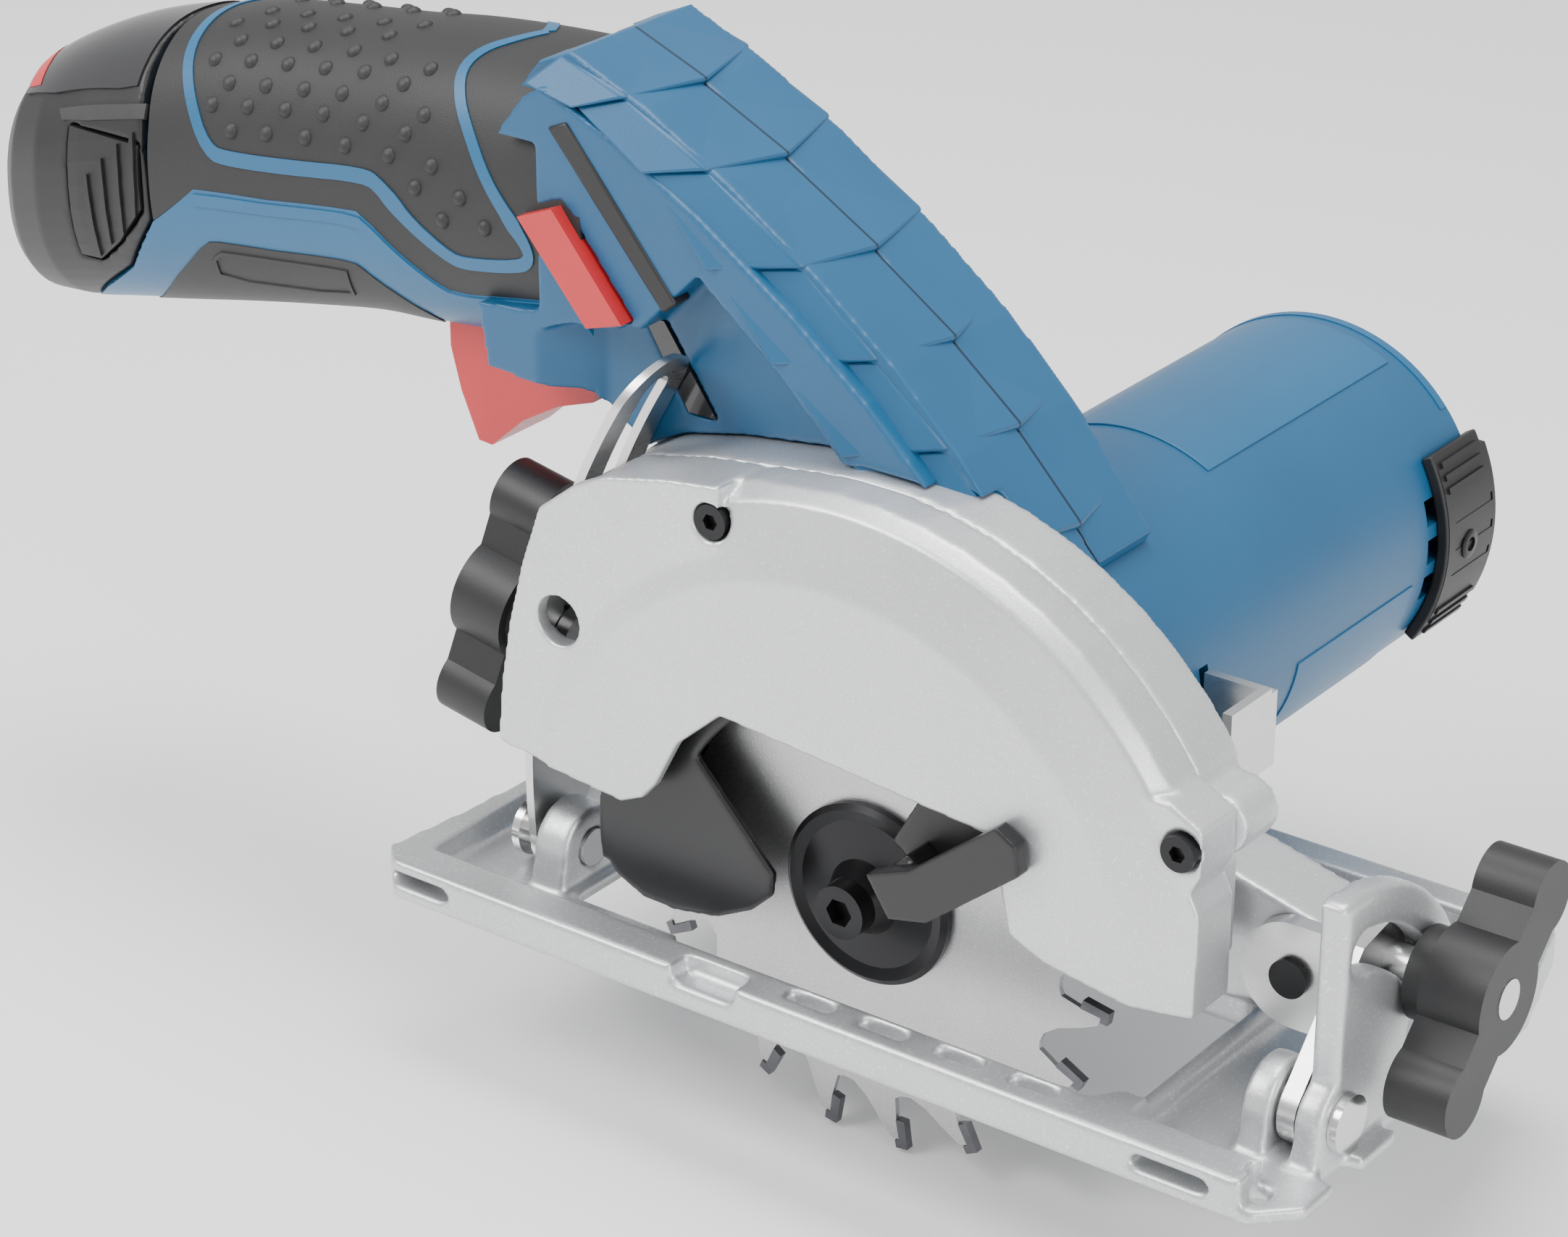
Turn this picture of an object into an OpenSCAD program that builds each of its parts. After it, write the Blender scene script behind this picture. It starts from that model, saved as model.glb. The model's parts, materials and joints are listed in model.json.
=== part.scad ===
// Cordless mini circular saw: a small blade on a tilting base, the motor beside the blade and the battery in the grip.
// X is forward, Y goes from the blade to the motor and Z is up. The origin is on the sole, below the spindle,
// in the middle plane of the blade. All sizes are in millimetres.

/* [Blade] */
// Diameter across the tooth tips
blade_d = 85; // [84:0.5:85]
// Depth that the blade reaches below the sole
cut_depth = 26.5; // [26:0.5:27]
// Number of carbide teeth
tooth_count = 20; // [16:2:24]
// Thickness of the saw plate
plate_t = 0.9; // [0.7:0.1:1.0]
// Width of the cut made by the teeth
kerf = 1.4; // [1.1:0.1:1.4]

/* [Base plate] */
// Distance from the spindle to the front edge
base_front = 84.7; // [84:0.1:86]
// Distance from the spindle to the rear edge
base_rear = 78.6; // [77:0.1:80]
// Distance from the blade to the near edge
base_near = 22.8; // [22:0.1:24]
// Distance from the blade to the far edge
base_far = 68; // [64:1:72]
// Height of the rails round the edge
rail_h = 6.5; // [6:0.1:7]
// Thickness of the sole
sole_t = 2.2; // [1.8:0.1:2.2]

/* [Pivots] */
// Sideways place of the bevel axis
bevel_y = -2; // [-2.5:0.5:-1.5]
// Height of the bevel axis
bevel_z = 7.5; // [7.5:0.1:7.8]
// Forward place of the depth pivot
depth_x = 65.3; // [65:0.1:65.6]
// Height of the depth pivot
depth_z = 19.5; // [19:0.1:20]
// Radius of the slotted depth strip about its pivot
strip_r = 126; // [125.8:0.1:126]

/* [Guards] */
// Outer radius of the upper guard about the spindle
guard_r = 65.5; // [65:0.1:66]
// Near face of the upper guard
guard_near = -12; // [-12.2:0.1:-12]
// Outer radius of the swinging lower guard
lower_r = 46.4; // [46:0.1:46.6]

/* [Motor and gears] */
// Forward place of the motor axis
motor_x = 6; // [5:0.5:7]
// Radius of the motor housing
barrel_r = 28.5; // [28:0.1:29]
// Far end of the motor housing
barrel_end = 119; // [118:1:122]
// Module of the spindle gears
spur_m = 0.8; // [0.8:0.01:0.82]
// Teeth of the driving spur gear
pinion_teeth = 38; // [38:1:38]
// Teeth of the spindle gear
output_teeth = 31; // [31:1:31]
// Module of the reduction gears
train_m = 0.49; // [0.48:0.01:0.5]

/* [Grip housing] */
// Middle plane of the grip and of the ridge above the guard
seam_y = 21; // [21:0.1:21.2]
// Half width of the housing's side walls
housing_half = 18.5; // [18.2:0.1:18.6]
// Thickness of the plastic walls
wall = 2.5; // [2.2:0.1:2.6]
// Thickness of the soft grip skin
skin_t = 1.5; // [1.2:0.1:1.6]

/* [Hidden] */
$fn = 96;
e = 0.02;

blade_r = blade_d / 2;
spindle_z = blade_r - cut_depth;
spur_centre = spur_m * (pinion_teeth + output_teeth) / 2;
motor_z = spindle_z + sqrt(spur_centre * spur_centre - motor_x * motor_x);
run = 0.05;
pin_r = 3;
strip_t = 1.4;
rear_rho = strip_r + 2;
clamp_angle = 10.5;
stud_angle = 36;
arch_slot_r = 25;
stud_y = bevel_y + arch_slot_r * cos(stud_angle);
stud_z = bevel_z + arch_slot_r * sin(stud_angle);
screw_places = [[58, 45.4], [-21.7, 73.4]];
small_teeth = 12;
wheel_teeth = 44;
lay_turn = 120;
lay_x = motor_x + train_m * (small_teeth + wheel_teeth) / 2 * cos(lay_turn);
lay_z = motor_z + train_m * (small_teeth + wheel_teeth) / 2 * sin(lay_turn);
grip_tilt = 9.5;

// ---- helpers: an outline in X and Z made thick along Y, and the same for the other two axes
module slab_y(y0, y1) {
    translate([0, y1, 0]) rotate([90, 0, 0]) linear_extrude(y1 - y0) children();
}
module slab_x(x0, x1) {
    translate([x0, 0, 0]) rotate([90, 0, 90]) linear_extrude(x1 - x0) children();
}
module slab_z(z0, z1) {
    translate([0, 0, z0]) linear_extrude(z1 - z0) children();
}
module disc_y(x, z, r, y0, y1) {
    slab_y(y0, y1) translate([x, z]) circle(r);
}
module disc_x(y, z, r, x0, x1) {
    slab_x(x0, x1) translate([y, z]) circle(r);
}
module tube_y(x, z, r_out, r_in, y0, y1) {
    difference() {
        disc_y(x, z, r_out, y0, y1);
        disc_y(x, z, r_in, y0 - 1, y1 + 1);
    }
}
function arc(cx, cz, r, a0, a1, n) = [for (i = [0:n]) let (a = a0 + (a1 - a0) * i / n) [cx + r * cos(a), cz + r * sin(a)]];
module wedge(r, a0, a1) {
    polygon(concat([[0, 0]], arc(0, 0, r, a0, a1, 8)));
}
module ring_sector(r_in, r_out, a0, a1) {
    intersection() {
        difference() {
            circle(r_out);
            circle(r_in);
        }
        wedge(1.6 * r_out, a0, a1);
    }
}
module at_spindle() {
    translate([0, spindle_z]) children();
}

// ---- gear outline with involute flanks; grow above 0 widens the teeth
function inv(a) = tan(a) * 180 / PI - a;
function half_tooth(teeth, m, r, grow) =
    let (rb = m * teeth / 2 * cos(20), a = r > rb ? acos(rb / r) : 0)
    90 / teeth * (1 + grow) + inv(20) - inv(a);
function gear_points(teeth, m, up, down, grow) = let (
    rp = m * teeth / 2,
    radii = [rp - down * m, rp - down * m * 0.45, rp, rp + up * m * 0.5, rp + up * m]
) [for (k = [0:teeth - 1], s = [-1, 1], i = [0:4]) let (
    r = radii[s < 0 ? i : 4 - i],
    a = 360 * k / teeth + s * half_tooth(teeth, m, r, grow)
) [r * cos(a), r * sin(a)]];
module gear_y(x, z, teeth, m, turn, y0, y1, bore) {
    difference() {
        slab_y(y0, y1) translate([x, z]) rotate(turn) polygon(gear_points(teeth, m, 0.8, 1.15, -0.12));
        disc_y(x, z, bore, y0 - 1, y1 + 1);
    }
}

// ---- base plate, one casting with the bevel arch and the rear lug
module base_outline() {
    polygon([
        [-base_rear, 4 - base_near], [4 - base_rear, -base_near], [base_front - 6, -base_near],
        [base_front, 6 - base_near], [base_front, base_far - 22], [base_front - 6, base_far - 2],
        [base_front - 10, base_far], [-base_rear, base_far], [3 - base_rear, base_far - 30], [2.2 - base_rear, 0]
    ]);
}
module arch_outline() {
    difference() {
        union() {
            translate([bevel_y, bevel_z]) ring_sector(10, 34.3, 28, 94);
            polygon([
                [-4.2, 1], [-4.2, bevel_z + 34.2], [bevel_y, bevel_z + 34.2],
                [stud_y, stud_z], [18, 19], [15, 8], [16, 1]
            ]);
            translate([bevel_y, bevel_z]) circle(6.3);
            polygon([[-9.5, 1], [-8, bevel_z], [-4, bevel_z], [-4, 1]]);
        }
        translate([bevel_y, bevel_z]) ring_sector(21.7, 28.3, stud_angle, stud_angle + 45);
        for (a = [stud_angle, stud_angle + 45])
            translate([bevel_y + arch_slot_r * cos(a), bevel_z + arch_slot_r * sin(a)]) circle(3.3);
    }
}
module lug_outline(r, foot) {
    translate([bevel_y, bevel_z]) circle(r);
    polygon([[bevel_y - foot, 1], [bevel_y - r, bevel_z], [bevel_y + r, bevel_z], [bevel_y + foot, 1]]);
}
module base_plate() {
    slot_near = -15.5;
    slot_far = 22;
    color("silver") difference() {
        union() {
            slab_z(0, sole_t) base_outline();
            // rails along the edges
            slab_z(0, rail_h) intersection() {
                base_outline();
                union() {
                    translate([-base_rear, -base_near]) square([base_rear + base_front - 7.5, 7.2]);
                    translate([-base_rear, base_far - 6]) square([base_rear + base_front, 6]);
                    translate([-base_rear, -base_near]) square([6, base_near + base_far]);
                    translate([base_front - 7, 30]) square([7, base_far - 30]);
                }
            }
            // ribs round the blade slot
            translate([-56, slot_far, 0]) cube([112, 3, rail_h - 1]);
            translate([53, slot_near, 0]) cube([3, slot_far - slot_near + 3, rail_h - 1.5]);
            translate([48.5, slot_near - 1, 0]) cube([7.5, 5, rail_h]);
            translate([20, slot_far, 0]) cube([3, base_far - slot_far, 4.5]);
            translate([-23, slot_far, 0]) cube([3, base_far - slot_far, 4.5]);
            slab_x(76.8, 81.2) arch_outline();
            slab_x(68.6, 73.2) lug_outline(6.8, 8);
            slab_x(-58, -51.5) lug_outline(7, 8.5);
        }
        // blade slot, with the floor kept on the near side behind the blade
        slab_z(-1, rail_h + 3) polygon([
            [-50, -8.5], [-30, -8.5], [-26, slot_near], [48.5, slot_near], [52.5, -10], [52.5, slot_far], [-50, slot_far]
        ]);
        // channels for a rip fence bar, across both rails
        for (x = [-76.6, 59.5], y = [-base_near - 1, base_far - 8])
            translate([x, y, sole_t]) cube([12.6, 10, 2.2]);
        // chamfered recess and pockets along the near rail
        slab_x(-20.5, -9) polygon([[-base_near - 1, rail_h + 1], [-base_near - 1, 3.6], [-18, 3.6], [-18, rail_h + 1]]);
        for (i = [0:3])
            translate([-2 + 13 * i, -19.4, 3.2]) cube([8, 2.6, rail_h]);
        translate([75.6, -19.4, -1]) cube([3.4, 3.4, rail_h + 2]);
        // front edge notches
        for (y = [-9, 8])
            translate([base_front - 3, y, -1]) cube([4, 7, rail_h + 2]);
        disc_x(bevel_y, bevel_z, pin_r, -70, -40);
        disc_x(bevel_y, bevel_z, pin_r, 60, 90);
    }
}
module front_bevel_rivet() {
    color("gainsboro") {
        disc_x(bevel_y, bevel_z, pin_r, 67.6, 81.2);
        disc_x(bevel_y, bevel_z, 4.3, 81.2, 82.6);
    }
}
module rear_bevel_pin() {
    color("gainsboro") {
        disc_x(bevel_y, bevel_z, pin_r, -63, -51.2);
        disc_x(bevel_y, bevel_z, 4.6, -64.2, -62.8);
    }
}

// ---- bevel frame: front bracket, its pins and the slotted strip behind the guard
module bevel_bracket() {
    color("lightgray") difference() {
        union() {
            slab_y(9.8, 12.6) {
                translate([depth_x, depth_z]) circle(8.3);
                translate([depth_x, depth_z - 8.3]) square([76.5 - depth_x, 16.6]);
            }
            slab_x(73.7, 76.5) {
                translate([bevel_y, bevel_z]) circle(5.2);
                translate([stud_y, stud_z]) circle(7);
                polygon([
                    [bevel_y + 2, bevel_z - 4.8], [stud_y + 3.5, stud_z - 6], [stud_y - 2, stud_z + 6.7],
                    [9.8, depth_z + 8.3], [bevel_y - 3.5, bevel_z + 3.8]
                ]);
            }
        }
        disc_x(bevel_y, bevel_z, pin_r + run, 70, 80);
        disc_x(stud_y, stud_z, pin_r, 70, 80);
        disc_y(depth_x, depth_z, pin_r, 5, 15);
    }
}
module bevel_clamp_stud() {
    color("gainsboro") disc_x(stud_y, stud_z, pin_r, 73.7, 95);
}
module depth_pivot_pin() {
    color("black") {
        disc_y(depth_x, depth_z, pin_r, 8.6, 27.4);
        disc_y(depth_x, depth_z, 4.2, 26.2, 27.4);
    }
}
module depth_strip() {
    middle = 0.5;
    color("lightgray") difference() {
        intersection() {
            slab_y(-8, 10) translate([depth_x, depth_z]) ring_sector(strip_r - strip_t, strip_r, 142, 192);
            slab_x(-70, -20) {
                translate([bevel_y, bevel_z]) circle(4.9);
                translate([middle, 84]) circle(7.4);
                polygon([[-6.9, 9], [-2, 6], [2, 6], [7.9, 14], [7.9, 84], [-6.9, 84]]);
            }
        }
        slab_x(-70, -20) {
            translate([middle, 85.2]) circle(2.75);
            translate([middle, 27]) circle(2.75);
            translate([middle - 2.75, 27]) square([5.5, 58.2]);
        }
        disc_x(bevel_y, bevel_z, pin_r + run, -70, -40);
    }
}
// Wing knob on local Z, its seat at 0 and its wings along local X
module wing_knob(bore_depth) {
    difference() {
        union() {
            cylinder(r = 7, h = 3.6);
            translate([0, 0, 3.3]) linear_extrude(9.7) {
                circle(8.5);
                for (s = [-1, 1]) {
                    translate([s * 15.5, 0]) circle(5.6);
                    translate([s * 8 - 7, -4.6]) square([14, 9.2]);
                }
            }
        }
        translate([0, 0, -1]) cylinder(r = pin_r + run, h = bore_depth + 1);
    }
}
module bevel_wing_knob() {
    color("dimgray") translate([81.9, stud_y, stud_z]) rotate([0, 90, 0]) rotate(135) difference() {
        wing_knob(13.3);
    }
}
module along_clamp() {
    translate([depth_x, 0.5, depth_z]) rotate([0, clamp_angle - 90, 0]) children();
}
module depth_clamp_bolt() {
    color("gainsboro") along_clamp() {
        translate([0, 0, strip_r - 3.8]) cylinder(r = 4.6, h = 2.2);
        translate([0, 0, strip_r - 2]) cylinder(r = 2.5, h = 14);
    }
}
module depth_wing_knob() {
    color("dimgray") along_clamp() translate([0, 0, rear_rho + 0.5]) rotate(14) difference() {
        wing_knob(0);
        translate([0, 0, -1]) cylinder(r = 2.5 + run, h = 12);
    }
}

// ---- upper guard: near cover and the far half that is one casting with the gear case
function upper_edge(inset, lobe) = concat(
    [[lobe - inset, 20], [lobe - inset, 36], [lobe - 1.5 - inset, 39], [lobe - inset, 42], [lobe - inset, 49]],
    arc(0, spindle_z, guard_r - inset, 34, 99, 10),
    [[-30, 78 - inset], [-41, 75.5 - inset], [-47, 72.5 - inset]],
    [for (t = [22:-4.75:3]) [depth_x - (rear_rho - inset) * cos(t), depth_z + (rear_rho - inset) * sin(t)]]
);
near_edge = [[-38, 23.8], [-34, 25.6], [-31.5, 28.5], [-27.3, 36.6], [-19.3, 43.6], [28.5, 39.2], [31.8, 24.6],
    [37.8, 22], [50.8, 20]];
module upper_outline(inset, lobe) {
    polygon(concat(upper_edge(inset, lobe), near_edge));
}
module upper_hollow(inset, lobe) {
    polygon(concat(upper_edge(inset, lobe), [[-61, -20], [lobe - inset, -20]]));
}
module strip_gap(y0, y1) {
    slab_y(y0, y1) translate([depth_x, depth_z]) ring_sector(strip_r - 4.2, strip_r + 0.35, 140, 186);
}
module guard_dome() {
    rotate([90, 0, 0]) rotate_extrude() polygon([
        [0, -1], [66, -1], [66, 5.5], [63.8, 9.2], [52.5, 12], [0, 12]
    ]);
}
module upper_guard_cover() {
    color("gainsboro") difference() {
        union() {
            intersection() {
                slab_y(guard_near, 0) upper_outline(0, 61);
                union() {
                    translate([0, 0, spindle_z]) guard_dome();
                    translate([-90, guard_near + 1, 0]) cube([70, 20, 90]);
                    translate([0, guard_near + 2.5, 0]) cube([70, 20, 52]);
                }
            }
        }
        difference() {
            slab_y(guard_near + 4.4, 1) upper_hollow(1.8, 61);
            for (p = screw_places)
                disc_y(p[0], p[1], 4.6, guard_near, 2);
        }
        slab_y(guard_near + 2, 1) intersection() {
            upper_hollow(1.8, 61);
            translate([0, spindle_z]) circle(51);
        }
        strip_gap(-8.2, 1);
        along_clamp() translate([0, 0, strip_r - 8]) cylinder(r = 2.7, h = 20);
        for (p = screw_places) {
            disc_y(p[0], p[1], 3, guard_near - 1, -8.4);
            disc_y(p[0], p[1], 1.7, guard_near - 1, 2);
        }
        disc_y(-50.2, 49.8, 4, guard_near - 1, guard_near + 6);
    }
}
module guard_screws() {
    color("black") for (p = screw_places) {
        difference() {
            disc_y(p[0], p[1], 2.7, -10.6, -8.4);
            slab_y(-11, -9.4) translate(p) circle(1.3, $fn = 6);
        }
        disc_y(p[0], p[1], 1.5, -8.4, 7);
    }
}
module gear_outline(r_low, r_high) {
    translate([0, spindle_z]) circle(r_low);
    translate([motor_x, motor_z]) circle(r_high);
    polygon([[-r_low, spindle_z], [r_low, spindle_z], [motor_x + r_high - 0.6, motor_z - 4], [motor_x - r_high + 0.6, motor_z - 4]]);
}
module arm_outline() {
    translate([depth_x, depth_z]) circle(7.8);
    polygon([[depth_x - 0.5, depth_z - 7.8], [depth_x + 1.8, depth_z + 7.6], [43, 33.2], [22, 58], [12, 9], [40, 9.4]]);
}
module gear_case() {
    color("silver") difference() {
        union() {
            difference() {
                slab_y(0, 10.5) upper_outline(0, 55.5);
                slab_y(-1, 8) upper_hollow(1.8, 55.5);
            }
            for (p = screw_places)
                disc_y(p[0], p[1], 4.6, 0, 9);
            slab_y(0, 9) polygon([[52, 42], [60, 42], [60, 48.5], [52, 52]]);
            disc_y(0, spindle_z, 10, 3.9, 8.5);
            slab_y(8, 21) gear_outline(15.3, 27.3);
            slab_y(13, 26) arm_outline();
        }
        // gear chamber, open towards the motor
        slab_y(10.5, 18) gear_outline(13.9, 18);
        slab_y(18, 27) gear_outline(13.9, 25);
        disc_y(0, spindle_z, 8, 4.4, 11);
        disc_y(0, spindle_z, 5.4, 3, 11);
        disc_y(depth_x, depth_z, pin_r + run, 5, 30);
        for (p = screw_places)
            disc_y(p[0], p[1], 1.5, -1, 7.2);
        strip_gap(-1, 8.6);
        along_clamp() translate([0, 0, strip_r - 8]) cylinder(r = 2.7, h = 20);
        disc_y(motor_x, motor_z, barrel_r, 21, 40);
    }
}
module gearbox_cover() {
    color("darkgray") difference() {
        slab_y(18, 20.6) gear_outline(13.8, 24.9);
        disc_y(0, spindle_z, 8, 17, 22);
        disc_y(motor_x, motor_z, 9, 17, 22);
    }
}

// ---- lower guard, drawn swung back behind the blade
module lower_lobe() {
    polygon(concat(
        [[-13.3, 1.2], [-27.3, 16.2]],
        arc(0, 0, lower_r, 150, 186, 6),
        [[-43, -8.5], [-38, -10.8], [-32, -11], [-24, -9.6], [-17.5, -6.3], [-13.6, -2.6]]
    ));
}
module lower_guard() {
    color("dimgray") difference() {
        union() {
            slab_y(-7, -5.5) at_spindle() {
                ring_sector(32, lower_r, 33, 186);
                ring_sector(16, lower_r, 33, 60);
                lower_lobe();
            }
            slab_y(4.7, 6.2) at_spindle() {
                ring_sector(10, lower_r, 33, 186);
                circle(12.5);
                lower_lobe();
            }
            slab_y(-7, 6.2) at_spindle() ring_sector(lower_r - 1.6, lower_r, 33, 188);
        }
        disc_y(0, spindle_z, 10.06, 3, 8);
    }
}
module guard_lever() {
    color("black") {
        slab_y(guard_near - 3.4, guard_near - 0.4) at_spindle() polygon([
            [9.5, 12.5], [13.5, 6.5], [20, 8], [35.5, 20.5], [35, 25], [31.5, 27], [17, 15.5]
        ]);
        slab_y(guard_near - 0.4, -7) at_spindle() polygon([[10.5, 12.2], [13.8, 7.5], [18, 10], [16.6, 14.6], [14.5, 16]]);
    }
}
module guard_spring() {
    color("silver") for (r = [11.6, 13.2])
        translate([0, 7.3, spindle_z]) rotate([90, 0, 0]) rotate_extrude() translate([r, 0]) circle(0.45, $fn = 16);
}

// ---- blade, flanges and spindle
function tooth_outline(r) = [for (k = [0:tooth_count - 1], q = [
    [0, r - 1], [1.8, r - 1.2], [4, r - 2.4], [7.5, r - 6.2], [10.5, r - 8.6], [14, r - 8.4], [16.6, r - 6.2], [17.9, r - 4.6]
]) let (a = -118 + 360 / tooth_count * k - q[0] * 20 / tooth_count) [q[1] * cos(a), q[1] * sin(a)]];
module saw_blade() {
    color("silver") difference() {
        slab_y(-plate_t / 2, plate_t / 2) at_spindle() for (k = [0:tooth_count - 1])
            rotate(-118 + 360 / tooth_count * k) polygon(concat([[0, 0]], [for (q = [
                [-18, 34.2], [-16, 33.6], [-13, 33.6], [-9, 35.2], [-5, 38.6], [-2.2, 41], [-0.1, 41.2], [-0.4, 37.6], [0, 34.2]
            ]) [q[1] * cos(q[0]), q[1] * sin(q[0])]]));
        disc_y(0, spindle_z, 7.52, -2, 2);
    }
}
module carbide_teeth() {
    color("gray") slab_y(-kerf / 2, kerf / 2) at_spindle() for (k = [0:tooth_count - 1])
        rotate(-118 + 360 / tooth_count * k) polygon([[37.7, -0.2], [41.2, 0], [41.2, -0.8], [blade_r, -0.7], [blade_r, 1.4], [37.9, 1.4]]);
}
module inner_flange() {
    color("dimgray") difference() {
        union() {
            disc_y(0, spindle_z, 12, plate_t / 2, 3.2);
            disc_y(0, spindle_z, 7.5, -0.4, plate_t / 2);
        }
        disc_y(0, spindle_z, 5, -1, 4);
    }
}
module outer_flange() {
    color("black") difference() {
        translate([0, 0, spindle_z]) rotate([90, 0, 0]) rotate_extrude() polygon([
            [0, plate_t / 2], [14.5, plate_t / 2], [14.5, 1.6], [13.6, 2.2], [11.8, 1.6], [6, 2.4], [4.4, 5.6], [0, 5.6]
        ]);
        disc_y(0, spindle_z, 2.5, -9, 1);
        disc_y(0, spindle_z, 5.05, -1.4, 1);
    }
}
module blade_screw() {
    color("dimgray") {
        difference() {
            disc_y(0, spindle_z, 4.25, -8.6, -5.6);
            slab_y(-9, -6.4) at_spindle() circle(2.3, $fn = 6);
        }
        disc_y(0, spindle_z, 2.5, -5.6, 8);
    }
}
module spindle_shaft() {
    color("lightgray") difference() {
        union() {
            disc_y(0, spindle_z, 5, -1.3, 20.4);
            disc_y(0, spindle_z, 6.6, 9.4, 11.4);
        }
        disc_y(0, spindle_z, 2.5, -2, 9);
    }
}
module output_gear() {
    color("darkgray") gear_y(0, spindle_z, output_teeth, spur_m,
        atan2(motor_z - spindle_z, motor_x) + 180 / output_teeth, 12, 17.4, 5);
}
module gearbox_bearings() {
    color("silver") {
        tube_y(0, spindle_z, 8, 5 + run, 4.6, 9.2);
        tube_y(0, spindle_z, 8, 5 + run, 18, 20.6);
        tube_y(motor_x, motor_z, 9, 4 + run, 18, 20.6);
    }
}
module spindle_lock_tab() {
    leg_y = 34;
    color("gainsboro") {
        translate([34.6, leg_y, 36.5]) cube([11.4, 1.6, 12]);
        translate([44.4, leg_y - 11, 36.5]) cube([1.6, 11, 12.8]);
        translate([22, leg_y, 40]) cube([12.6, 1.6, 5]);
    }
}

// ---- reduction gears: the motor pinion turns a lay shaft, which turns the wheel on the output shaft
module gear_plate() {
    color("gray") difference() {
        disc_y(motor_x, motor_z, 25.5, 22.4, 24.4);
        disc_y(motor_x, motor_z, 4 + run, 22, 25);
        disc_y(lay_x, lay_z, 1.5 + run, 22, 25);
    }
}
module lay_shaft() {
    color("lightgray") disc_y(lay_x, lay_z, 1.5, 22.4, 46);
}
module lay_gear() {
    color("darkgray") gear_y(lay_x, lay_z, wheel_teeth, train_m, lay_turn + 180 + 180 / wheel_teeth, 37, 42, 1.5);
}
module lay_pinion() {
    color("darkgray") gear_y(lay_x, lay_z, small_teeth, train_m, lay_turn + 180, 26.2, 32.4, 1.5);
}
module output_wheel() {
    color("darkgray") gear_y(motor_x, motor_z, wheel_teeth, train_m, lay_turn + 180 / wheel_teeth, 26.6, 32, 4);
}
module output_shaft() {
    color("gray") disc_y(motor_x, motor_z, 4, 11.2, 33);
}
module pinion_gear() {
    color("darkgray") gear_y(motor_x, motor_z, pinion_teeth, spur_m,
        atan2(spindle_z - motor_z, -motor_x), 12, 17.4, 4);
}

// ---- motor
module rotor_shaft() {
    color("lightgray") {
        disc_y(motor_x, motor_z, 1.5, 35, 44);
        disc_y(motor_x, motor_z, 2.5, 44, 113.2);
    }
}
module motor_pinion() {
    color("darkgray") gear_y(motor_x, motor_z, small_teeth, train_m, lay_turn, 36.4, 42.4, 1.5);
}
module armature() {
    slots = 5;
    color("peru") difference() {
        disc_y(motor_x, motor_z, 14.4, 62, 92);
        for (k = [0:slots - 1])
            slab_y(61, 93) translate([motor_x, motor_z]) rotate(k * 360 / slots) translate([9, -1]) square([8, 2]);
        disc_y(motor_x, motor_z, 2.5, 60, 95);
    }
}
module commutator() {
    color("chocolate") tube_y(motor_x, motor_z, 5.5, 2.5, 96, 106);
}
module cooling_fan() {
    blades = 9;
    color("black") difference() {
        union() {
            disc_y(motor_x, motor_z, 17, 56, 57.4);
            disc_y(motor_x, motor_z, 5, 50.5, 57);
            for (k = [0:blades - 1])
                slab_y(50.5, 56.2) translate([motor_x, motor_z]) rotate(k * 360 / blades) translate([4, -0.5]) square([12.5, 1]);
        }
        disc_y(motor_x, motor_z, 2.5, 50, 60);
    }
}
module rotor_bearings() {
    color("silver") {
        tube_y(motor_x, motor_z, 6, 2.5 + run, 45, 48.6);
        tube_y(motor_x, motor_z, 6, 2.5 + run, 109.4, 113);
    }
}
module motor_can() {
    color("gray") {
        tube_y(motor_x, motor_z, 20.5, 18.7, 49.6, 109);
        difference() {
            disc_y(motor_x, motor_z, 20.5, 43, 49.6);
            disc_y(motor_x, motor_z, 6, 44.6, 50);
            disc_y(motor_x, motor_z, 4.4, 42, 50);
            disc_y(lay_x, lay_z, 1.5 + run, 42, 46.2);
        }
    }
}
module motor_magnets() {
    color("dimgray") slab_y(60, 94) translate([motor_x, motor_z]) for (a = [-60, 120])
        ring_sector(15, 18.7, a, a + 120);
}
module brush_holder() {
    color("black") difference() {
        disc_y(motor_x, motor_z, 18.6, 107, 113.4);
        disc_y(motor_x, motor_z, 6, 109.4, 114);
        disc_y(motor_x, motor_z, 3.2, 106, 114);
    }
    color("black") difference() {
        for (s = [-1, 1])
            translate([motor_x + s * 10.6 - 4.2, 98, motor_z - 4]) cube([8.4, 9.1, 8]);
        for (s = [-1, 1])
            translate([motor_x + s * 10.6 - 6, 99.4, motor_z - 2.6]) cube([12, 5.2, 5.2]);
    }
}
module carbon_brushes() {
    color("black") for (s = [-1, 1])
        difference() {
            translate([motor_x + s * 9.6 - 4.4, 99.5, motor_z - 2.5]) cube([8.8, 5, 5]);
            disc_y(motor_x, motor_z, 5.6, 98, 108);
        }
}
module barrel_shape(r, end) {
    translate([motor_x, 0, motor_z]) rotate([-90, 0, 0]) rotate_extrude() polygon([
        [0, 21.2], [r, 21.2], [r, end - 2.5], [r - 2, end], [0, end]
    ]);
}
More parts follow.
